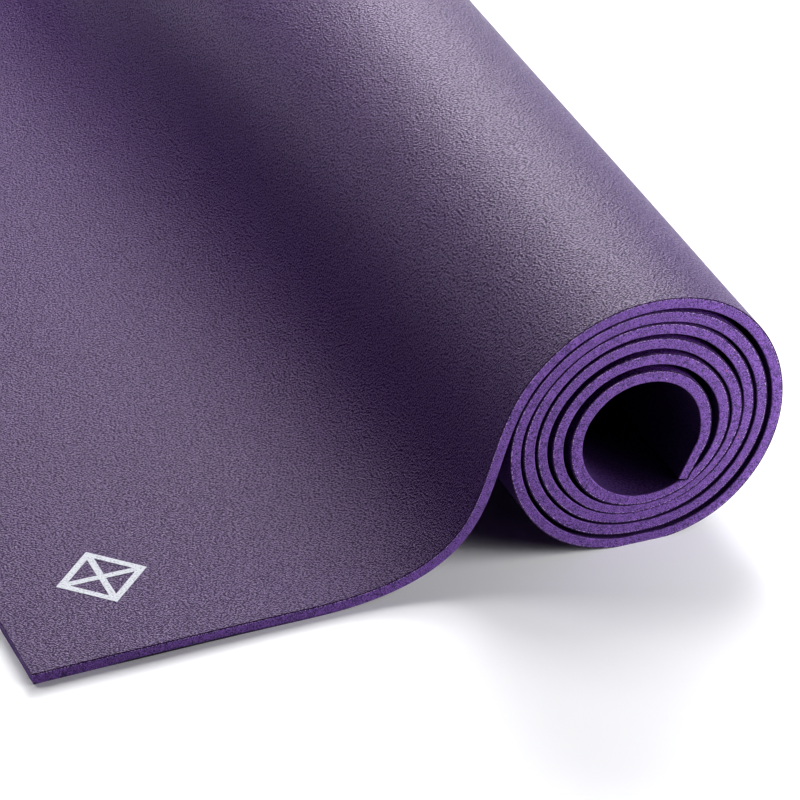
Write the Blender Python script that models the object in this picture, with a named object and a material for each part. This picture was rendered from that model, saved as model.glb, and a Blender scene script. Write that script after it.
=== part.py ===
"""Yoga mat, partly unrolled: one foam laminate with its free end flat on the floor and the rest rolled up.

Metres, +Z up. X runs along the mat from its free end to the roll, Y along the roll, and the origin is the
middle of the footprint. The sheet is drawn once, as a row of stations that each hold a point of its base
face and a point of its top face. Every layer is an outline between two depths of that sheet, drawn across
the width of the mat.
"""

import math

import bpy
from mathutils import Matrix, Vector
from mathutils.geometry import intersect_point_line

# The mat as it is cut
MAT_WIDTH = 0.610
FREE_LENGTH = 0.1225

# The laminate, from the face that is stood on to the face that lies on the floor
TOP_SKIN = 0.0005
UPPER_FOAM = 0.00135
SCRIM = 0.0003
LOWER_FOAM = 0.00135
BASE_SKIN = 0.0005
BOND_LINE = 0.0003
LAYERS = (
    ("top_skin", TOP_SKIN, (0.10, 0.065, 0.15), 0.55),
    ("upper_foam", UPPER_FOAM, (0.20, 0.085, 0.40), 0.8),
    ("scrim", SCRIM, (0.55, 0.50, 0.62), 0.9),
    ("lower_foam", LOWER_FOAM, (0.20, 0.085, 0.40), 0.8),
    ("base_skin", BASE_SKIN, (0.09, 0.04, 0.16), 0.7),
)

# The roll
CORE_RADIUS = 0.0265
TURN_CLEARANCE = 0.00045
FOOT_DEPTH = 0.0005
STATION_ANGLE = math.radians(10)
TABLE_ANGLE = math.radians(45)
TIP_ANGLE = math.radians(-20)
TIP_BEND = math.radians(24)
JOIN_ANGLE = math.radians(5 * 360 + 150)

# How the winding lies, one value for each eighth of a turn, anticlockwise from the side that faces +X.
# The hollow's radius, as shares of the core radius, from the eighth before the first full turn.
HOLLOW_SHARES = (1.005, 0.90, 0.845, 0.90, 1.036, 1.172, 1.24, 1.33)
# The thickness left by the squeeze of the winding and the roll's weight, as shares of the flat sheet's.
SQUEEZE_SHARES = (0.94, 1.0, 1.0, 0.99, 0.94, 0.95, 0.83, 0.83)
# The slack between one turn and the next, as shares of the flat sheet's thickness. It starts an eighth early.
SLACK_SHARES = (
    0.00,
    0.58, 0.49, 0.49, 0.62, 0.69, 0.22, 0.00, 0.00,
    0.11, 0.17, 0.34, 0.36, 0.36, 0.03, 0.00, 0.00,
    0.02, 0.25, 0.20, 0.06, 0.04, 0.07, 0.04, 0.14,
    0.12, 0.15, 0.00, 0.00, 0.13, 0.24, 0.16, 0.35,
    0.32, 0.38, 0.05, 0.00, 0.02,
)

# The bend from the floor up to the roll: a cubic curve between the two, with a handle at each end.
# It leaves the roll a little outwards of square to the roll's radius.
LIFT_OFF_RUN = 0.148
FLOOR_HANDLE = 0.091
ROLL_HANDLE = 0.0434
LEAVE_ANGLE = math.radians(4.5)
BEND_STATIONS = 12

# The printed mark: a diamond frame with a cross in it, near the free corner
MARK_SIZE = 0.040
MARK_BAR = 0.003
MARK_FILM = 0.0002
MARK_END_INSET = 0.046
MARK_SIDE_INSET = 0.052

COLLECTION = "yoga_mat"


def sheet_thickness():
    """The thickness of all the layers and of the bond line between each two of them."""
    return sum(thickness for _, thickness, _, _ in LAYERS) + BOND_LINE * (len(LAYERS) - 1)


def between(before, first, second, after, share):
    """A smooth value between first and second, which leans on the values on either side of them."""
    lean_first = (second - before) / 2
    lean_second = (after - first) / 2
    rise = second - first
    curve = 3 * rise - 2 * lean_first - lean_second
    twist = lean_first + lean_second - 2 * rise
    return first + share * (lean_first + share * (curve + share * twist))


def read_table(values, angle, start=0.0, loops=False):
    """The table's value at an angle, where its first value belongs to the angle start."""
    place = (angle - start) / TABLE_ANGLE
    index = math.floor(place)
    share = place - index

    def value(at):
        return values[at % len(values)] if loops else values[min(max(at, 0), len(values) - 1)]

    return between(value(index - 1), value(index), value(index + 1), value(index + 2), share)


def squeezed_thickness(angle):
    return sheet_thickness() * read_table(SQUEEZE_SHARES, angle, loops=True)


def step_out(angle):
    """How much further out the next turn's base face lies than this one's, at the same side of the roll."""
    slack = max(0.0, read_table(SLACK_SHARES, angle, start=-TABLE_ANGLE))
    return squeezed_thickness(angle) + TURN_CLEARANCE + slack * sheet_thickness()


def first_turn_radii():
    """The base face's radius at each eighth, from one before the first turn to two after it."""
    radii = [CORE_RADIUS * share for share in HOLLOW_SHARES]
    before = radii[-1] - step_out(-TABLE_ANGLE)
    after = [radii[i] + step_out(i * TABLE_ANGLE) for i in range(3)]
    return [before, *radii, *after]


def base_radius(angle):
    """The base face's distance from the roll's axis, the angle counted on from the inner end."""
    turns = max(0, math.floor(angle / math.tau))
    first = angle - turns * math.tau
    radius = read_table(first_turn_radii(), first, start=-TABLE_ANGLE)
    return radius + sum(step_out(first + turn * math.tau) for turn in range(turns))


def polar(radius, angle):
    return Vector((radius * math.cos(angle), radius * math.sin(angle)))


def roll_angles():
    count = round((JOIN_ANGLE - TIP_ANGLE) / STATION_ANGLE)
    return [TIP_ANGLE + i * (JOIN_ANGLE - TIP_ANGLE) / count for i in range(count + 1)]


def last_turn(angle):
    return angle > JOIN_ANGLE - math.tau


def roll_height():
    """The roll's axis above the floor, low enough to press a flat foot on the underside."""
    depths = [
        -(base_radius(a) + squeezed_thickness(a)) * math.sin(a) for a in roll_angles() if last_turn(a)
    ]
    return max(depths) - FOOT_DEPTH


def roll_stations():
    """Base and top points of the winding about its own axis, from the inner end outwards."""
    height = roll_height()
    stations = []
    for angle in roll_angles():
        base = base_radius(angle)
        top = base + squeezed_thickness(angle)
        if last_turn(angle) and -top * math.sin(angle) > height:
            pressed = top + height / math.sin(angle)
            base -= pressed
            top -= pressed
        stations.append((polar(base, angle), polar(top, angle)))
    return stations


def run_to_next_turn(start, along):
    """Where a line from start meets the next turn's base face, short of it by the clearance between turns."""
    facet = math.cos(STATION_ANGLE / 2)
    step = along * (TURN_CLEARANCE / 2)
    point = start
    while True:
        ahead = point + step
        angle = math.atan2(ahead.y, ahead.x) + math.tau
        if ahead.length + TURN_CLEARANCE > base_radius(angle) * facet:
            return point
        point = ahead


def tip_station(stations):
    """The sheet's inner end: a straight stretch whose cut end lies pressed against the next turn."""
    base, top = stations[0]
    along = (base - stations[1][0]).normalized()
    along.rotate(Matrix.Rotation(-TIP_BEND, 2))
    out = Vector((-along.y, along.x))
    return run_to_next_turn(base, along), run_to_next_turn(base + out * (top - base).length, along)


def bend_stations(winding):
    """Base and top points from the free end along the floor and up to where the bend joins the roll."""
    base_join, top_join = winding[-1]
    lift_off = Vector((-LIFT_OFF_RUN, -roll_height()))
    leaving = (top_join - base_join).normalized()
    leaving.rotate(Matrix.Rotation(math.pi / 2 - LEAVE_ANGLE, 2))
    handles = (lift_off + Vector((FLOOR_HANDLE, 0)), base_join + leaving * ROLL_HANDLE)
    free_end = lift_off - Vector((FREE_LENGTH, 0))
    up = Vector((0, sheet_thickness()))
    stations = [(free_end, free_end + up)]
    for i in range(BEND_STATIONS):
        s = i / BEND_STATIONS
        r = 1 - s
        point = (
            lift_off * r**3 + handles[0] * (3 * r * r * s) + handles[1] * (3 * r * s * s) + base_join * s**3
        )
        course = (
            (handles[0] - lift_off) * (r * r)
            + (handles[1] - handles[0]) * (2 * r * s)
            + (base_join - handles[1]) * (s * s)
        ).normalized()
        stations.append((point, point + Vector((-course.y, course.x)) * sheet_thickness()))
    return stations


def sheet_stations():
    """The whole sheet from its free end to its inner end, in the plane of its cut edge, floor at zero."""
    winding = roll_stations()
    tip = tip_station(winding)
    floor_run = bend_stations(winding)
    stations = floor_run + winding[::-1] + [tip]
    height = roll_height()
    points = [point for station in stations for point in station]
    middle = (min(p.x for p in points) + max(p.x for p in points)) / 2
    shift = Vector((-middle, height))
    return [(base + shift, top + shift) for base, top in stations]


def sheet_length(stations):
    middles = [(base + top) / 2 for base, top in stations]
    return sum((b - a).length for a, b in zip(middles, middles[1:]))


def distance_to_edge(point, start, end):
    nearest, share = intersect_point_line(point, start, end)
    if share <= 0:
        nearest = start
    if share >= 1:
        nearest = end
    return (point - nearest).length


def least_gap(stations):
    """The least distance from each point of the sheet to the edges of the turns beside its own."""
    half_turn = round(math.pi / STATION_ANGLE)
    least = math.inf
    for i, station in enumerate(stations):
        for j in range(len(stations) - 1):
            if abs(i - j) < half_turn:
                continue
            for point in station:
                for start, end in zip(stations[j], stations[j + 1]):
                    least = min(least, distance_to_edge(point, start, end))
    return least


def layer_outline(stations, top_depth, base_depth):
    """The closed outline of one layer, between two depths below the top face of the flat sheet."""
    whole = sheet_thickness()
    upper = [top.lerp(base, top_depth / whole) for base, top in stations]
    lower = [top.lerp(base, base_depth / whole) for base, top in stations]
    return upper + lower[::-1]


def material(name, colour, roughness):
    made = bpy.data.materials.new(name)
    made.use_nodes = True
    shader = made.node_tree.nodes["Principled BSDF"]
    shader.inputs["Base Color"].default_value = (*colour, 1)
    shader.inputs["Roughness"].default_value = roughness
    shader.inputs["Metallic"].default_value = 0
    made.diffuse_color = (*colour, 1)
    return made


def add_outline(name, loops, thickness, finish, collection):
    """A flat shape from closed loops, filled on both sides and given its thickness along its own Z."""
    curve = bpy.data.curves.new(name, "CURVE")
    curve.dimensions = "2D"
    curve.fill_mode = "BOTH"
    curve.extrude = thickness / 2
    for loop in loops:
        spline = curve.splines.new("POLY")
        spline.points.add(len(loop) - 1)
        for point, place in zip(spline.points, loop):
            point.co = (place[0], place[1], 0, 1)
        spline.use_cyclic_u = True
    curve.materials.append(finish)
    made = bpy.data.objects.new(name, curve)
    collection.objects.link(made)
    return made


def add_layers(stations, collection):
    """The laminate from its top face down, each layer stood up on its cut edge across the mat's width."""
    depth = 0.0
    for name, thickness, colour, roughness in LAYERS:
        outline = layer_outline(stations, depth, depth + thickness)
        finish = material(name, colour, roughness)
        layer = add_outline(name, [outline], MAT_WIDTH, finish, collection)
        layer.rotation_euler = (math.pi / 2, 0, 0)
        depth += thickness + BOND_LINE


def diamond(half):
    return [Vector((half, 0)), Vector((0, half)), Vector((-half, 0)), Vector((0, -half))]


def mark_loops():
    """A diamond frame whose corners are joined by a cross, so four windows are left in it."""
    half = MARK_SIZE / 2
    bar = MARK_BAR / 2
    reach = half - MARK_BAR * math.sqrt(2) - bar
    window = [Vector((bar, bar)), Vector((reach, bar)), Vector((bar, reach))]
    loops = [diamond(half)]
    for quarter in range(4):
        turn = quarter * math.pi / 2
        cos, sin = round(math.cos(turn)), round(math.sin(turn))
        loops.append([Vector((p.x * cos - p.y * sin, p.x * sin + p.y * cos)) for p in window])
    return loops


def add_mark(stations, collection):
    """The ink film, printed on the top face one bond line above it."""
    free_end = stations[0][1]
    ink = material("ink", (0.72, 0.72, 0.78), 0.6)
    mark = add_outline("corner_mark", mark_loops(), MARK_FILM, ink, collection)
    mark.location = (
        free_end.x + MARK_END_INSET,
        -MAT_WIDTH / 2 + MARK_SIDE_INSET,
        free_end.y + BOND_LINE + MARK_FILM / 2,
    )


def main():
    for leftover in list(bpy.data.objects):
        bpy.data.objects.remove(leftover)
    collection = bpy.data.collections.new(COLLECTION)
    bpy.context.scene.collection.children.link(collection)
    stations = sheet_stations()
    add_layers(stations, collection)
    add_mark(stations, collection)
    print(f"sheet {sheet_length(stations):.4f} m long, least gap between turns {least_gap(stations):.5f} m")


main()
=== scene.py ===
"""The looks of the yoga mat: two skins, foam, scrim and a printed mark, with a floor, lamps and a camera.

Metres, in the frame's axes: X runs along the mat from its free end to the roll, Y across it, and Z is up.
The sheet is drawn as a row of fine stations. Each station holds a point of the base face and a point of the
top face, and every layer is a closed ring across the mat that is carried from station to station.
"""

import math

import bpy
import numpy as np
from mathutils import Matrix, Vector


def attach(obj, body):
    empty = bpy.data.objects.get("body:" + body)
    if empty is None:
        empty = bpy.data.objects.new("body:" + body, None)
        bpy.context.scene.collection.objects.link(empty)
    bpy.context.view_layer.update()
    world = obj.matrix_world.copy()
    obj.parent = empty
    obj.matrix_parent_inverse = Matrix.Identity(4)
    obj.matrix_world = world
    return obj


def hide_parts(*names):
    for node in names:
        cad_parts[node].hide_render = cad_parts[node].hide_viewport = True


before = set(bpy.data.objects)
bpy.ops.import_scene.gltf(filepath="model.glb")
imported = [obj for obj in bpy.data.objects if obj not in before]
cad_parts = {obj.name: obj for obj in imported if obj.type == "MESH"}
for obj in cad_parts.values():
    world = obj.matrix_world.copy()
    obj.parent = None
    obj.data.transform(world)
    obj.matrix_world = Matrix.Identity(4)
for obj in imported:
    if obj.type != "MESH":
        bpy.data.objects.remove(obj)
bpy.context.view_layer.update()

# The mat as it is cut
MAT_WIDTH = 0.610
FREE_LENGTH = 0.1225
THICKNESS = 0.0052

# The laminate, as depths below the top face of the flat sheet
TOP_FULLNESS = 0.0003
TOP_SKIN_DEPTH = 0.0003
# The dark band at the top of the cut, the top skin's own edge with painted shade, ends at this depth
DARK_EDGE_AND_SHADE_END = 0.00028
# The pale broken line under that band ends at this depth
PALE_EDGE_LINE_END = 0.0005
MIDDLE_DEPTH = 0.0026
BASE_SKIN_DEPTH = 0.0044
SCRIM_HALF = 0.00015
SCRIM_INSET = 0.002
SCRIM_END_STATIONS = 2

# The roll, whose axis stands at these places along X and above the floor
ROLL_AXIS = (0.1034, 0.0568)
TURN_CLEARANCE = 0.00045
TABLE_ANGLE = math.radians(45)
STATION_ANGLE = math.radians(2.5)
JOIN_ANGLE = math.radians(5 * 360 + 150)

# The sheet's inner end: it leaves the winding straight, and the places where it ends are told from the axis
TIP_ANGLE = math.radians(-25)
TIP_BASE_END = (0.0171, -0.0291)
TIP_TOP_END = (0.0209, -0.0301)
TIP_STATIONS = 6
DENT_ANGLE = math.radians(305)
DENT_SPAN = math.radians(3.5)
DENT_DEPTH = 0.0021

# How the winding lies: a row for each turn and a value for each eighth of it, anticlockwise from the side
# that faces +X. Both tables start an eighth early. First the base face's distance from the roll's axis.
TURN_RADII = (
    0.0293,
    0.0260, 0.0236, 0.0225, 0.0242, 0.0277, 0.0304, 0.0331, 0.0350,
    0.0346, 0.0318, 0.0308, 0.0331, 0.0364, 0.0375, 0.0376, 0.0395,
    0.0405, 0.0386, 0.0386, 0.0407, 0.0438, 0.0427, 0.0412, 0.0431,
    0.0459, 0.0460, 0.0455, 0.0469, 0.0495, 0.0487, 0.0466, 0.0494,
    0.0521, 0.0521, 0.0509, 0.0521, 0.0557, 0.0555, 0.0533, 0.0563,
    0.0588, 0.0595, 0.0564, 0.0572, 0.0614,
)
# Then the thickness that is left by the squeeze of the winding and by the roll's weight.
TURN_THICKNESSES = (
    0.0046,
    0.0050, 0.0053, 0.0053, 0.0056, 0.0053, 0.0054, 0.0040, 0.0037,
    0.0046, 0.0052, 0.0051, 0.0050, 0.0048, 0.0041, 0.0033, 0.0031,
    0.0045, 0.0049, 0.0050, 0.0049, 0.0042, 0.0045, 0.0041, 0.0044,
    0.0044, 0.0046, 0.0049, 0.0047, 0.0048, 0.0048, 0.0044, 0.0043,
    0.0045, 0.0049, 0.0050, 0.0047, 0.0046, 0.0045, 0.0040, 0.0045,
    0.0047, 0.0049, 0.0049, 0.0046, 0.0050,
)

# The bend from the floor up to the roll
LIFT_OFF_RUN = 0.148
FLOOR_HANDLE = 0.091
ROLL_HANDLE = 0.0434
LEAVE_ANGLE = math.radians(4.5)
BEND_STATIONS = 64
FLAT_STATIONS = 24

# The cut edges
TOP_ARRIS = 0.0001
BASE_ARRIS = 0.0005
ARRIS_STEPS = 4
FACE_STEPS = 3
SHARP_ANGLE = math.radians(50)

# The slow drift of the cut edges: its size, how far in from the cut it reaches, then each wave's length along
# the mat, its share and its phase
EDGE_WANDER = 0.00022
WANDER_ZONE = BASE_ARRIS * 1.5
WANDER_WAVES = ((0.31, 1.0, 1), (0.087, 0.5, 2))

# How the free end lies: a little askew, so that its near corner stands out, with a slanting end cut
CORNER_ASIDE = 0.0039
ASIDE_RUN = 0.26
END_REACH = 0.0017
END_SKEW = 0.0008
END_SKEW_SPAN = 0.08
END_SLANT = 0.00065
END_RUN = 0.10

# The sheet's slow ripple along and across the mat
RIPPLE_RISE = 0.00015
RIPPLE_COLUMNS = 40
RIPPLE_WAVES = ((0.21, 0.33, 0.4), (0.13, -0.19, 2.1), (0.094, 0.26, 4.4))
RIPPLE_FADE = 0.03
# Further from the free end than this the outermost turn goes under itself, and no ripple shows.
RIPPLE_END = 0.60

# The printed mark: a diamond frame with a cross in it, near the free corner
MARK_SIZE = 0.040
MARK_BAR = 0.003
MARK_FILM = 0.0001
MARK_END_INSET = 0.0473
MARK_SIDE_INSET = 0.052

# Between these values lies most of a noise, and a grain with much detail has this much
NOISE_SHARES = (0.3, 0.7)
MUCH_DETAIL = 3.0

# The emboss: the width of a pebble of each skin, its height, and how much longer it is along the mat
PEBBLE = 0.00071
PEBBLE_HEIGHT = 0.0005
BASE_PEBBLE = 0.0009
BASE_PEBBLE_HEIGHT = 0.00012
EMBOSS_STRETCH = 1.5

# How the emboss is made: the grain that bends the pebbles' outlines and how far it bends them, as shares of a
# pebble's width, then how far the pebbles melt together, and the fine grain that lies over them
BENDING_GRAIN_SHARE = 1.3
BENDING_SHARE = 1.2
MELTING_SHARE = 0.45
PEBBLE_REACH_SHARES = (0.1, 0.75)
FINE_GRAIN_SHARE = 0.5
FINE_RELIEF_SHARE = 0.5
CREST_SHARES = (0.36, 0.70)

# The slow change of the skins' tone
TONE_DRIFT = 0.05
TONE_DRIFT_SHARE = 0.08

# The looks of the two skins: their tones and glosses are those in the furrows and then on the pebbles. The
# darker furrow tones are painted shade of the emboss
TOP_LOOK = {
    "tones": ((0.0101, 0.0011, 0.0270), (0.0225, 0.0024, 0.0620)),
    "size": PEBBLE,
    "height": PEBBLE_HEIGHT,
    "roughness": 0.39,
    "glosses": (0.09, 0.68),
    "tint": (0.79, 0.49, 1.0),
    "sheen": 0.12,
}
BASE_LOOK = {
    "tones": ((0.016, 0.0044, 0.039), (0.026, 0.0077, 0.062)),
    "size": BASE_PEBBLE,
    "height": BASE_PEBBLE_HEIGHT,
    "roughness": 0.7,
    "glosses": (0.1, 0.2),
    "tint": (1.0, 1.0, 1.0),
    "sheen": 0.0,
}
SHEEN_ROUGHNESS = 0.35
SHEEN_TINT = (0.4, 0.12, 1.0)

# The other finishes, each as its roughness and its gloss
FOAM_FINISH = (0.75, 0.25)
INK_FINISH = (0.6, 0.4)
SCRIM_FINISH = (0.85, 0.3)

# Cut foam: a short grain between two violets, with a slower mottle
FOAM_GRAIN = 0.0005
FOAM_GRAIN_STRETCH = (1, 1, 1.3)
FOAM_GRAIN_SHARES = (0.40, 0.59)
FOAM_GRAIN_HEIGHT = 0.00012
FOAM_RAGGEDNESS = 0.7
FOAM_MOTTLE = 0.0022
FOAM_MOTTLE_SHARE = 0.15
FOAM_TONES = ((0.026, 0.0085, 0.070), (0.166, 0.067, 0.332))

# Its flecks, which are dark, pale and red: how far apart they can be, the radius of one, the share of those
# places that holds one, and the colour
FOAM_FLECKS = (
    (0.0021, 0.00052, 0.6, (0.004, 0.011, 0.036)),
    (0.0057, 0.0004, 0.3, (0.35, 0.30, 0.50)),
    (0.0083, 0.0004, 0.3, (0.30, 0.06, 0.08)),
)
FLECK_CORE_SHARE = 0.6

# Along the top of the cut: a dark band, the top skin's own dark edge widened with painted shade that darkens
# the gaps between the turns, and under it a pale broken line
DARK_EDGE_AND_SHADE_COLOUR = (0.010, 0.003, 0.024)
DARK_EDGE_AND_SHADE_GLOSS = 0.03
DARK_EDGE_AND_SHADE_BLUR = 0.00003
PALE_EDGE_LINE_COLOUR = (0.62, 0.47, 0.72)
PALE_EDGE_LINE_BLUR = 0.00004
PALE_EDGE_LINE_GRAIN = 0.0005
PALE_EDGE_LINE_SHARES = (0.53, 0.61)

# Painted contact shadow: a dark line low on the cut where the mat lies flat, as its shade under the edge. How
# deep it starts, where it comes up and fades out along the mat, and its colour
CONTACT_SHADOW_DEPTHS = (0.0040, 0.0043)
CONTACT_SHADOW_START = (0.030, 0.042)
CONTACT_SHADOW_END = (0.07, 0.15)
CONTACT_SHADOW_COLOUR = (0.004, 0.002, 0.010)

# The ink, and the furrows of the skin that show through it
INK_COLOUR = (0.52, 0.54, 0.60)
INK_FURROW_COLOUR = (0.20, 0.18, 0.27)
INK_FURROW_SHARE = 0.35
INK_GRAIN = PEBBLE * 0.3
INK_GRAIN_SHARES = (0.4, 0.6)
INK_HEIGHT = 0.00008

# The scrim's yarn
SCRIM_GRAIN = 0.0015
SCRIM_TONES = ((0.42, 0.38, 0.50), (0.62, 0.58, 0.70))

# The floor: its paper as the lamps' light finds it, and as the camera sees it, which is a little over white
# because the lamps are dim. Between two distances from the middle it turns plain white for the camera.
FLOOR_SIZE = 14.0
FLOOR_PAPER = (0.8, 0.8, 0.8)
FLOOR_PAPER_SEEN = (1.08, 1.08, 1.11)
FLOOR_FADE = (0.62, 1.1)
WHITE = (1, 1, 1)

# Each lamp: its name, its place, its width, and its power in watts. All of them face one point.
LAMP_TARGET = (0.0, -0.1, 0.03)
LAMPS = (
    ("far_back_right", (1.19, 1.41, 1.2), 0.7, 12.5),
    ("far_back", (0.78, 1.67, 1.2), 0.7, 38.0),
    ("high_back", (0.53, 0.92, 1.92), 0.7, 13.0),
    ("over_left", (-0.55, 0.35, 0.8), 0.45, 4.4),
    ("over_middle", (0.0, 0.35, 0.4), 0.45, 1.9),
    ("back_right", (0.55, 0.95, 0.4), 0.45, 4.5),
    ("front", (0.35, -0.5, 0.2), 0.25, 0.85),
    ("front_right", (0.55, -0.55, 0.1), 0.25, 3.6),
)

# The camera
CAMERA_PLACE = (-0.644, -1.8847, 1.1686)
CAMERA_TURN_DEGREES = (57.824, -0.077, -21.927)
CAMERA_LENS = 222.75
CAMERA_SENSOR = 36.0


def between(before, first, second, after, share):
    """A smooth value between first and second, which leans on the values on either side of them."""
    lean_first = (second - before) / 2
    lean_second = (after - first) / 2
    rise = second - first
    curve = 3 * rise - 2 * lean_first - lean_second
    twist = lean_first + lean_second - 2 * rise
    return first + share * (lean_first + share * (curve + share * twist))


def read_table(values, angle):
    """The table's value at an angle that is counted on from the inner end."""
    place = angle / TABLE_ANGLE + 1
    index = math.floor(place)
    nearest = [values[min(max(index + i, 0), len(values) - 1)] for i in (-1, 0, 1, 2)]
    return between(*nearest, place - index)


def base_radius(angle):
    """The base face's distance from the roll's axis, with the dent that the sheet's inner end presses in."""
    dent = DENT_DEPTH * math.exp(-(((angle - DENT_ANGLE) / DENT_SPAN) ** 2))
    return read_table(TURN_RADII, angle) + dent


def turn_thickness(angle):
    """The sheet's thickness, no more than the next turn leaves room for."""
    thickness = read_table(TURN_THICKNESSES, angle)
    if angle + math.tau > JOIN_ANGLE:
        return thickness
    return min(thickness, base_radius(angle + math.tau) - TURN_CLEARANCE - base_radius(angle))


def polar(radius, angle):
    return Vector((radius * math.cos(angle), radius * math.sin(angle)))


def roll_angles():
    count = round((JOIN_ANGLE - TIP_ANGLE) / STATION_ANGLE)
    return [TIP_ANGLE + i * (JOIN_ANGLE - TIP_ANGLE) / count for i in range(count + 1)]


def roll_stations():
    """Base and top points of the winding about its own axis, from the inner end outwards.

    The roll's foot is pressed flat on the floor.
    """
    stations = []
    for angle in roll_angles():
        base = base_radius(angle)
        top = base + turn_thickness(angle)
        if -top * math.sin(angle) > ROLL_AXIS[1]:
            pressed = top + ROLL_AXIS[1] / math.sin(angle)
            base -= pressed
            top -= pressed
        stations.append((polar(base, angle), polar(top, angle)))
    return stations


def tip_stations(winding):
    """The sheet's straight inner end, whose outer corner lies in the dent of the next turn."""
    base, top = winding[0]
    shares = [(i + 1) / TIP_STATIONS for i in range(TIP_STATIONS)]
    return [
        (base.lerp(Vector(TIP_BASE_END), share), top.lerp(Vector(TIP_TOP_END), share)) for share in shares
    ]


def bend_stations(winding):
    """Base and top points from the free end along the floor and up to where the bend joins the roll."""
    base_join, top_join = winding[-1]
    lift_off = Vector((-LIFT_OFF_RUN, -ROLL_AXIS[1]))
    leaving = (top_join - base_join).normalized()
    leaving.rotate(Matrix.Rotation(math.pi / 2 - LEAVE_ANGLE, 2))
    handles = (lift_off + Vector((FLOOR_HANDLE, 0)), base_join + leaving * ROLL_HANDLE)
    free_end = lift_off - Vector((FREE_LENGTH, 0))
    up = Vector((0, THICKNESS))
    squeeze = THICKNESS - (top_join - base_join).length
    stations = []
    for i in range(FLAT_STATIONS):
        point = free_end.lerp(lift_off, i / FLAT_STATIONS)
        stations.append((point, point + up))
    for i in range(BEND_STATIONS):
        s = i / BEND_STATIONS
        r = 1 - s
        point = (
            lift_off * r**3 + handles[0] * (3 * r * r * s) + handles[1] * (3 * r * s * s) + base_join * s**3
        )
        course = (
            (handles[0] - lift_off) * (r * r)
            + (handles[1] - handles[0]) * (2 * r * s)
            + (base_join - handles[1]) * (s * s)
        ).normalized()
        stations.append((point, point + Vector((-course.y, course.x)) * (THICKNESS - squeeze * s**3)))
    return stations


def sheet_stations():
    """Base and top points, as rows of X and Z, from the free end to the inner end, with the floor at zero."""
    winding = roll_stations()
    stations = bend_stations(winding) + winding[::-1] + tip_stations(winding)
    return np.array([[tuple(base), tuple(top)] for base, top in stations]) + ROLL_AXIS


STATIONS = sheet_stations()
BASE_LINE = STATIONS[:, 0]
TOP_LINE = STATIONS[:, 1]
MIDDLE_LINE = (BASE_LINE + TOP_LINE) / 2
RUN = np.concatenate([[0], np.cumsum(np.linalg.norm(np.diff(MIDDLE_LINE, axis=0), axis=1))])
OUTWARD = (TOP_LINE - BASE_LINE) / np.linalg.norm(TOP_LINE - BASE_LINE, axis=1)[:, None]
FREE_END = MIDDLE_LINE[0, 0]


def ripple(run, across):
    """How far the sheet stands up from its even lie, never down, at a run from its free end."""
    waves = sum(
        np.sin(math.tau * (run / along + across / athwart) + phase)
        for along, athwart, phase in RIPPLE_WAVES
    )
    fade = np.clip((RIPPLE_END - run) / RIPPLE_FADE, 0, 1) * np.clip(run / RIPPLE_FADE, 0, 1)
    return RIPPLE_RISE * (1 + waves / len(RIPPLE_WAVES)) * fade


def aside(run):
    """How far the sheet lies towards the near side, where it has left the roll."""
    return CORNER_ASIDE * np.clip(1 - run / ASIDE_RUN, 0, 1) ** 2


def reach(run, across, depth):
    """How far the free end reaches out beyond its even place, fading out along the mat."""
    skew = END_SKEW * (1 - np.exp(-(across + MAT_WIDTH / 2) / END_SKEW_SPAN))
    slant = END_SLANT * np.clip(depth / THICKNESS, 0, 1)
    return (END_REACH + skew - slant) * np.clip(1 - run / END_RUN, 0, 1) ** 2


def wander(run, side):
    """The cut edge's slow drift in and out along the mat, on one side of it."""
    drift = sum(share * np.sin(math.tau * run / along + phase * side) for along, share, phase in WANDER_WAVES)
    return EDGE_WANDER * drift * side


def columns():
    """Places across the mat, closer together near its two cut edges."""
    even = np.linspace(-1, 1, RIPPLE_COLUMNS + 1)[1:-1]
    return np.sin(even * math.pi / 2) * (MAT_WIDTH / 2 - BASE_ARRIS * 2)


def arris(radius, side, depth, towards):
    """The rounded corner between a face at a depth and a cut edge, as places across and depths."""
    points = []
    for i in range(ARRIS_STEPS + 1):
        turn = math.pi / 2 * i / ARRIS_STEPS
        points.append((
            side * (MAT_WIDTH / 2 - radius * (1 - math.cos(turn))),
            depth + towards * radius * (1 - math.sin(turn)),
        ))
    return points


def ring_between(upper, lower, arris_radius=0.0, rounded=None):
    """The ring of one layer across the mat, clockwise from its lower near corner, and each side's material.

    The material is 1 on the cut edges and 0 elsewhere.
    """
    half = MAT_WIDTH / 2
    near = [(-half, upper + (lower - upper) * (1 - i / FACE_STEPS)) for i in range(FACE_STEPS)]
    far = [(half, depth) for _, depth in near[::-1]]
    across = columns()
    top = [(place, upper) for place in across]
    bottom = [(place, lower) for place in across[::-1]]
    near_top = [(-half, upper)]
    far_top = [(half, upper)]
    if rounded == "upper":
        near_top = arris(arris_radius, -1, upper, 1)
        far_top = arris(arris_radius, 1, upper, 1)[::-1]
        near = [(-half, lower + (upper + arris_radius - lower) * i / FACE_STEPS) for i in range(FACE_STEPS)]
        far = [(half, depth) for _, depth in near[::-1]]
    if rounded == "lower":
        curved = arris(arris_radius, -1, lower, -1)
        near = curved[::-1] + [(-half, upper + (lower - arris_radius - upper) / 2)]
        far = [(-place, depth) for place, depth in near[::-1]]
    points = near + near_top + top + far_top + far + bottom
    edge = len(near)
    slots = [1] * edge + [0] * (len(points) - edge)
    start = len(points) - len(bottom) - len(far) - 1
    for i in range(start, start + len(far)):
        slots[i] = 1
    return np.array(points), slots


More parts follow.
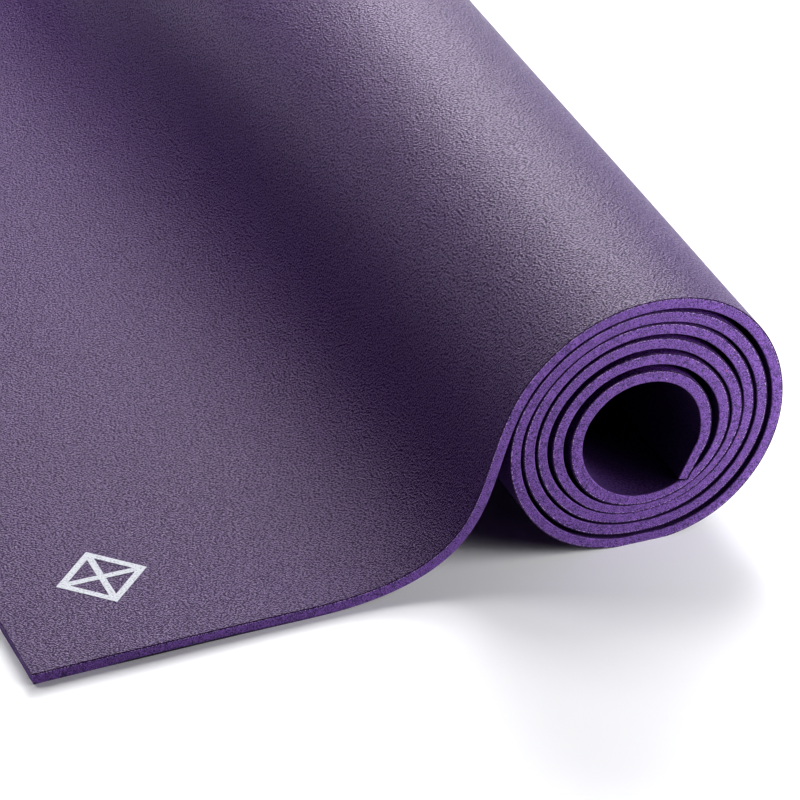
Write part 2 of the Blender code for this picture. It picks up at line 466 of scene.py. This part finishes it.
def carried_mesh(name, ring, slots, materials, stations=None, inset=0.0):
    """A closed mesh: the ring carried along the sheet, with its points' sheet places kept as an attribute."""
    keep = np.arange(len(RUN)) if stations is None else stations
    places = ring[:, 0] * (1 - inset / (MAT_WIDTH / 2))
    depths = ring[:, 1]
    run = RUN[keep][:, None] + np.zeros(len(places))
    share = depths / THICKNESS
    across = places[None] + np.where(
        np.abs(places) > MAT_WIDTH / 2 - WANDER_ZONE, wander(run, np.sign(places)), 0
    )
    flat = TOP_LINE[keep][:, None] + (BASE_LINE - TOP_LINE)[keep][:, None] * share[None, :, None]
    lifted = flat + OUTWARD[keep][:, None] * ripple(run, across)[:, :, None]
    x = lifted[:, :, 0] - reach(run, across, depths)
    points = np.stack([x, across - aside(run), np.maximum(lifted[:, :, 1], 0)], axis=2).reshape(-1, 3)
    sheet = np.stack([run, across, np.zeros_like(run) + depths], axis=2).reshape(-1, 3)
    size = len(places)
    rows = len(keep)
    faces = []
    marks = []
    for i in range(rows - 1):
        for k in range(size):
            following = (k + 1) % size
            faces.append((i * size + k, i * size + following, (i + 1) * size + following, (i + 1) * size + k))
            marks.append(slots[k])
    faces.append(tuple(range(size))[::-1])
    faces.append(tuple((rows - 1) * size + k for k in range(size)))
    marks += [1, 1]
    mesh = bpy.data.meshes.new(name)
    mesh.from_pydata(points.tolist(), [], faces)
    mesh.polygons.foreach_set("material_index", marks)
    for finish in materials:
        mesh.materials.append(finish)
    attribute = mesh.attributes.new("sheet", "FLOAT_VECTOR", "POINT")
    attribute.data.foreach_set("vector", sheet.astype(np.float32).ravel())
    mesh.shade_smooth()
    mesh.set_sharp_from_angle(angle=SHARP_ANGLE)
    piece = bpy.data.objects.new(name, mesh)
    bpy.context.scene.collection.objects.link(piece)
    return piece


def add(tree, kind, sockets=None, **settings):
    """A node with its settings and its inputs, each a value or another node's output."""
    made = tree.nodes.new(kind)
    for key, value in settings.items():
        setattr(made, key, value)
    for key, value in (sockets or {}).items():
        if isinstance(value, bpy.types.NodeSocket):
            tree.links.new(value, made.inputs[key])
        else:
            made.inputs[key].default_value = value
    return made


def maths(tree, operation, first, second):
    return add(tree, "ShaderNodeMath", {0: first, 1: second}, operation=operation).outputs[0]


def fitted(tree, value, low, high, to_low=0.0, to_high=1.0):
    """The value eased from low to high into to_low to to_high."""
    return add(
        tree, "ShaderNodeMapRange",
        {"Value": value, "From Min": low, "From Max": high, "To Min": to_low, "To Max": to_high},
        interpolation_type="SMOOTHSTEP",
    ).outputs["Result"]


def mixed(tree, share, first, second):
    """The colour that is first where share is 0 and second where it is 1."""
    made = add(tree, "ShaderNodeMix", {"Factor": share}, data_type="RGBA")
    for index, value in ((6, first), (7, second)):
        if isinstance(value, bpy.types.NodeSocket):
            tree.links.new(value, made.inputs[index])
        else:
            made.inputs[index].default_value = (*value, 1)
    return made.outputs[2]


def noise(tree, place, grain, detail=2.0, roughness=0.5, stretch=(1, 1, 1)):
    """Noise whose grain is about that many metres across, or more along an axis that is stretched."""
    scaled = add(tree, "ShaderNodeMapping", {"Vector": place, "Scale": [1 / (grain * s) for s in stretch]})
    return add(
        tree, "ShaderNodeTexNoise",
        {"Vector": scaled.outputs[0], "Scale": 1.0, "Detail": detail, "Roughness": roughness},
    ).outputs["Fac"]


def swing(tree, value, share):
    """The noise's usual values eased into a swing by that share to either side of zero."""
    return fitted(tree, value, *NOISE_SHARES, -share, share)


def emboss(tree, shader, relief, height):
    """Lets the shader see the relief, whose lowest and highest points are that many metres apart."""
    bump = add(tree, "ShaderNodeBump", {"Height": relief, "Distance": height, "Strength": 1.0})
    tree.links.new(bump.outputs[0], shader.inputs["Normal"])


def new_material(name, roughness, gloss):
    made = bpy.data.materials.new(name)
    made.use_nodes = True
    shader = made.node_tree.nodes["Principled BSDF"]
    shader.inputs["Roughness"].default_value = roughness
    shader.inputs["Specular IOR Level"].default_value = gloss
    return made, made.node_tree, shader


def sheet_place(tree):
    """The place on the flat sheet: along it from the free end, across it, and below its top face."""
    return add(tree, "ShaderNodeAttribute", attribute_name="sheet").outputs["Vector"]


def drawn_out(tree, place):
    """The place with its run shortened, so that the emboss is longer along the mat than across it."""
    return add(tree, "ShaderNodeMapping", {"Vector": place, "Scale": (1 / EMBOSS_STRETCH, 1, 1)}).outputs[0]


def pebbles(tree, place, size):
    """The emboss of the skin, 0 in its furrows and 1 on its pebbles."""
    bending = noise(tree, place, size * BENDING_GRAIN_SHARE, detail=1.0)
    bend = maths(tree, "MULTIPLY", bending, size * BENDING_SHARE)
    bent = add(tree, "ShaderNodeVectorMath", {0: place, 1: bend}, operation="ADD").outputs[0]
    cells = add(
        tree, "ShaderNodeTexVoronoi",
        {"Vector": bent, "Scale": 1 / size, "Smoothness": MELTING_SHARE, "Randomness": 1.0},
        voronoi_dimensions="2D", feature="SMOOTH_F1",
    ).outputs["Distance"]
    return fitted(tree, cells, *PEBBLE_REACH_SHARES, 1.0, 0.0)


def skin_material(name, tones, size, height, roughness, glosses, tint, sheen):
    """An embossed skin: pebbles under a fine grain, duller in the furrows and darker there with painted
    shade, with slow tones.
    """
    made, tree, shader = new_material(name, roughness, glosses[0])
    shader.inputs["Specular Tint"].default_value = (*tint, 1)
    shader.inputs["Sheen Weight"].default_value = sheen
    shader.inputs["Sheen Roughness"].default_value = SHEEN_ROUGHNESS
    shader.inputs["Sheen Tint"].default_value = (*SHEEN_TINT, 1)
    where = drawn_out(tree, sheet_place(tree))
    grain = noise(tree, where, size * FINE_GRAIN_SHARE)
    relief = maths(
        tree, "ADD",
        maths(tree, "MULTIPLY", pebbles(tree, where, size), 1 - FINE_RELIEF_SHARE),
        maths(tree, "MULTIPLY", grain, FINE_RELIEF_SHARE),
    )
    crest = fitted(tree, relief, *CREST_SHARES)
    drift = swing(tree, noise(tree, where, TONE_DRIFT), TONE_DRIFT_SHARE)
    # Painted shade: the furrows take the darker tone, beside the bump that shades them
    tree.links.new(mixed(tree, maths(tree, "ADD", crest, drift), *tones), shader.inputs["Base Color"])
    tree.links.new(fitted(tree, crest, 0.0, 1.0, *glosses), shader.inputs["Specular IOR Level"])
    emboss(tree, shader, relief, height)
    return made


def flecks(tree, place, spacing, radius, share):
    """1 inside scattered round flecks: one in each cell that the share picks, 0 elsewhere."""
    cells = add(
        tree, "ShaderNodeTexVoronoi", {"Vector": place, "Scale": 1 / spacing, "Randomness": 1.0},
        voronoi_dimensions="3D", feature="F1",
    )
    edge = radius / spacing
    inside = fitted(tree, cells.outputs["Distance"], edge * FLECK_CORE_SHARE, edge, 1.0, 0.0)
    pick = add(tree, "ShaderNodeSeparateColor", {"Color": cells.outputs["Color"]}).outputs[0]
    return maths(tree, "MULTIPLY", inside, maths(tree, "LESS_THAN", pick, share))


def foam_material(name):
    """Cut closed-cell foam: a violet ground with a short grain and flecks.

    Next to the top face a dark band runs along the cut: the top skin's own dark edge, widened with painted
    shade that darkens the gaps between the turns, with a pale broken line under it. Where the mat lies flat,
    a dark line of painted contact shadow runs low on the cut.
    """
    made, tree, shader = new_material(name, *FOAM_FINISH)
    where = sheet_place(tree)
    parted = add(tree, "ShaderNodeSeparateXYZ", {"Vector": where})
    run = parted.outputs["X"]
    depth = parted.outputs["Z"]

    grain = noise(tree, where, FOAM_GRAIN, MUCH_DETAIL, FOAM_RAGGEDNESS, FOAM_GRAIN_STRETCH)
    mottle = swing(tree, noise(tree, where, FOAM_MOTTLE), FOAM_MOTTLE_SHARE)
    tone = maths(tree, "ADD", fitted(tree, grain, *FOAM_GRAIN_SHARES), mottle)
    colour = mixed(tree, tone, *FOAM_TONES)
    for spacing, radius, share, fleck_colour in FOAM_FLECKS:
        colour = mixed(tree, flecks(tree, where, spacing, radius, share), colour, fleck_colour)

    # A pale broken line just under the dark band, where the grain is high
    above_pale_line = fitted(tree, depth, PALE_EDGE_LINE_END - PALE_EDGE_LINE_BLUR, PALE_EDGE_LINE_END + PALE_EDGE_LINE_BLUR, 1.0, 0.0)
    pale_breaks = fitted(tree, noise(tree, where, PALE_EDGE_LINE_GRAIN, roughness=FOAM_RAGGEDNESS), *PALE_EDGE_LINE_SHARES)
    colour = mixed(tree, maths(tree, "MULTIPLY", above_pale_line, pale_breaks), colour, PALE_EDGE_LINE_COLOUR)
    # Painted shade: the dark band at the top of the cut, partly the top skin's own dark edge, darkens the
    # gaps between turns
    under_dark_edge_and_shade = fitted(tree, depth, DARK_EDGE_AND_SHADE_END - DARK_EDGE_AND_SHADE_BLUR, DARK_EDGE_AND_SHADE_END + DARK_EDGE_AND_SHADE_BLUR)
    colour = mixed(tree, under_dark_edge_and_shade, DARK_EDGE_AND_SHADE_COLOUR, colour)

    # Painted contact shadow: a dark line low on the cut where the mat lies flat
    flat = maths(
        tree, "MULTIPLY", fitted(tree, run, *CONTACT_SHADOW_START), fitted(tree, run, *CONTACT_SHADOW_END, 1.0, 0.0)
    )
    low = fitted(tree, depth, *CONTACT_SHADOW_DEPTHS)
    colour = mixed(tree, maths(tree, "MULTIPLY", low, flat), colour, CONTACT_SHADOW_COLOUR)

    tree.links.new(colour, shader.inputs["Base Color"])
    gloss = fitted(tree, under_dark_edge_and_shade, 0.0, 1.0, DARK_EDGE_AND_SHADE_GLOSS, FOAM_FINISH[1])
    tree.links.new(gloss, shader.inputs["Specular IOR Level"])
    emboss(tree, shader, grain, FOAM_GRAIN_HEIGHT)
    return made


def ink_material(name):
    """The printed film: pale ink that the furrows of the emboss show through."""
    made, tree, shader = new_material(name, *INK_FINISH)
    from_free_end = add(
        tree, "ShaderNodeVectorMath",
        {0: add(tree, "ShaderNodeTexCoord").outputs["Object"], 1: (-FREE_END, 0, 0)}, operation="ADD",
    )
    where = drawn_out(tree, from_free_end.outputs[0])
    relief = pebbles(tree, where, PEBBLE)
    grain = noise(tree, where, INK_GRAIN, MUCH_DETAIL)
    furrows = fitted(tree, relief, 0.0, INK_FURROW_SHARE, 1.0, 0.0)
    bare = maths(tree, "MULTIPLY", furrows, fitted(tree, grain, *INK_GRAIN_SHARES))
    tree.links.new(mixed(tree, bare, INK_COLOUR, INK_FURROW_COLOUR), shader.inputs["Base Color"])
    emboss(tree, shader, relief, INK_HEIGHT)
    return made


def scrim_material(name):
    made, tree, shader = new_material(name, *SCRIM_FINISH)
    tone = noise(tree, sheet_place(tree), SCRIM_GRAIN)
    tree.links.new(mixed(tree, tone, *SCRIM_TONES), shader.inputs["Base Color"])
    return made


def diamond(half):
    return [(half, 0), (0, half), (-half, 0), (0, -half)]


def mark_loops():
    """A diamond frame whose corners are joined by a cross, so four windows are left in it."""
    half = MARK_SIZE / 2
    bar = MARK_BAR / 2
    span = half - MARK_BAR * math.sqrt(2) - bar
    window = ((bar, bar), (span, bar), (bar, span))
    loops = [diamond(half)]
    for quarter in range(4):
        turn = quarter * math.pi / 2
        cos, sin = round(math.cos(turn)), round(math.sin(turn))
        loops.append([(x * cos - y * sin, x * sin + y * cos) for x, y in window])
    return loops


def printed_mark(finish):
    """The ink film, which follows the ripple of the top face that it is printed on."""
    curve = bpy.data.curves.new("printed_mark_outline", "CURVE")
    curve.dimensions = "2D"
    curve.fill_mode = "BOTH"
    curve.extrude = MARK_FILM / 2
    for loop in mark_loops():
        spline = curve.splines.new("POLY")
        spline.points.add(len(loop) - 1)
        for point, place in zip(spline.points, loop):
            point.co = (*place, 0, 1)
        spline.use_cyclic_u = True
    drawn = bpy.data.objects.new("printed_mark_outline", curve)
    bpy.context.scene.collection.objects.link(drawn)
    mesh = bpy.data.meshes.new_from_object(drawn.evaluated_get(bpy.context.evaluated_depsgraph_get()))
    bpy.data.objects.remove(drawn)
    for vertex in mesh.vertices:
        run = vertex.co.x + MARK_END_INSET
        across = vertex.co.y - MAT_WIDTH / 2 + MARK_SIDE_INSET
        rise = THICKNESS + TOP_FULLNESS + float(ripple(run, across + aside(run))) + MARK_FILM
        vertex.co = (run + FREE_END, across, rise + vertex.co.z)
    mesh.materials.clear()
    mesh.materials.append(finish)
    piece = bpy.data.objects.new("printed_mark", mesh)
    bpy.context.scene.collection.objects.link(piece)
    return piece


def build_mat():
    """The five layers and the mark, each in the place of its CAD node."""
    top_face = skin_material("top_skin_face", **TOP_LOOK)
    base_face = skin_material("base_skin_face", **BASE_LOOK)
    foam = foam_material("foam_cut")
    scrim = scrim_material("scrim_yarn")
    top_ring = ring_between(-TOP_FULLNESS, TOP_SKIN_DEPTH, TOP_ARRIS, "upper")
    base_ring = ring_between(BASE_SKIN_DEPTH, THICKNESS, BASE_ARRIS, "lower")
    upper_foam_ring = ring_between(TOP_SKIN_DEPTH, MIDDLE_DEPTH)
    lower_foam_ring = ring_between(MIDDLE_DEPTH, BASE_SKIN_DEPTH)
    scrim_ring = ring_between(MIDDLE_DEPTH - SCRIM_HALF, MIDDLE_DEPTH + SCRIM_HALF)
    inner = np.arange(SCRIM_END_STATIONS, len(RUN) - SCRIM_END_STATIONS)
    pieces = {
        "top_skin": carried_mesh("mat_top_skin", *top_ring, [top_face, foam]),
        "upper_foam": carried_mesh("mat_upper_foam", *upper_foam_ring, [foam, foam]),
        "scrim": carried_mesh("mat_scrim", *scrim_ring, [scrim, scrim], inner, SCRIM_INSET),
        "lower_foam": carried_mesh("mat_lower_foam", *lower_foam_ring, [foam, foam]),
        "base_skin": carried_mesh("mat_base_skin", *base_ring, [base_face, foam]),
        "corner_mark": printed_mark(ink_material("ink_film")),
    }
    for node, piece in pieces.items():
        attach(piece, "root")
        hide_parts(node)
    return pieces


def diffuse(tree, colour):
    return add(tree, "ShaderNodeBsdfDiffuse", {"Color": (*colour, 1)}).outputs[0]


def shader_mix(tree, share, first, second):
    return add(tree, "ShaderNodeMixShader", {"Fac": share, 1: first, 2: second}).outputs[0]


def seen(tree):
    """1 for what the camera sees, also in reflections, and 0 for the light that falls on the object."""
    path = add(tree, "ShaderNodeLightPath")
    mirrored = maths(tree, "MAXIMUM", path.outputs["Is Glossy Ray"], path.outputs["Is Transmission Ray"])
    return maths(tree, "MAXIMUM", path.outputs["Is Camera Ray"], mirrored)


def add_floor():
    """Pale paper that keeps the mat's shadow, and is plain white far from it."""
    bpy.ops.mesh.primitive_plane_add(size=FLOOR_SIZE, location=(0, 0, 0))
    floor = bpy.context.object
    floor.name = "floor"
    made = bpy.data.materials.new("floor_paper")
    made.use_nodes = True
    tree = made.node_tree
    tree.nodes.clear()
    glow = add(tree, "ShaderNodeEmission", {"Color": (*WHITE, 1), "Strength": 1.0}).outputs[0]
    place = add(tree, "ShaderNodeTexCoord").outputs["Object"]
    away = add(tree, "ShaderNodeVectorMath", {0: place}, operation="LENGTH").outputs["Value"]
    paper_seen = shader_mix(tree, fitted(tree, away, *FLOOR_FADE), diffuse(tree, FLOOR_PAPER_SEEN), glow)
    paper = shader_mix(tree, seen(tree), diffuse(tree, FLOOR_PAPER), paper_seen)
    add(tree, "ShaderNodeOutputMaterial", {"Surface": paper})
    floor.data.materials.append(made)
    return floor


def add_world():
    """White for the camera and dark for the object, which only the lamps light."""
    world = bpy.data.worlds.new("studio")
    bpy.context.scene.world = world
    world.use_nodes = True
    tree = world.node_tree
    tree.nodes.clear()
    dark = add(tree, "ShaderNodeBackground", {"Color": (*WHITE, 1), "Strength": 0.0}).outputs[0]
    white = add(tree, "ShaderNodeBackground", {"Color": (*WHITE, 1), "Strength": 1.0}).outputs[0]
    path = add(tree, "ShaderNodeLightPath")
    shown = shader_mix(tree, path.outputs["Is Camera Ray"], dark, white)
    add(tree, "ShaderNodeOutputWorld", {"Surface": shown})


def add_lamps():
    for name, place, width, power in LAMPS:
        light = bpy.data.lights.new(name, "AREA")
        light.shape = "SQUARE"
        light.size = width
        light.energy = power
        lamp = bpy.data.objects.new(name, light)
        lamp.visible_camera = False
        lamp.location = place
        lamp.rotation_euler = (Vector(LAMP_TARGET) - Vector(place)).to_track_quat("-Z", "Y").to_euler()
        bpy.context.scene.collection.objects.link(lamp)


def add_camera():
    data = bpy.data.cameras.new("camera")
    data.lens = CAMERA_LENS
    data.sensor_width = CAMERA_SENSOR
    data.clip_end = FLOOR_SIZE * 2
    camera = bpy.data.objects.new("camera", data)
    camera.location = CAMERA_PLACE
    camera.rotation_euler = [math.radians(turn) for turn in CAMERA_TURN_DEGREES]
    bpy.context.scene.collection.objects.link(camera)
    bpy.context.scene.camera = camera


def main():
    bpy.context.scene.view_settings.view_transform = "Standard"
    pieces = build_mat()
    floor = add_floor()
    add_world()
    add_lamps()
    add_camera()


main()
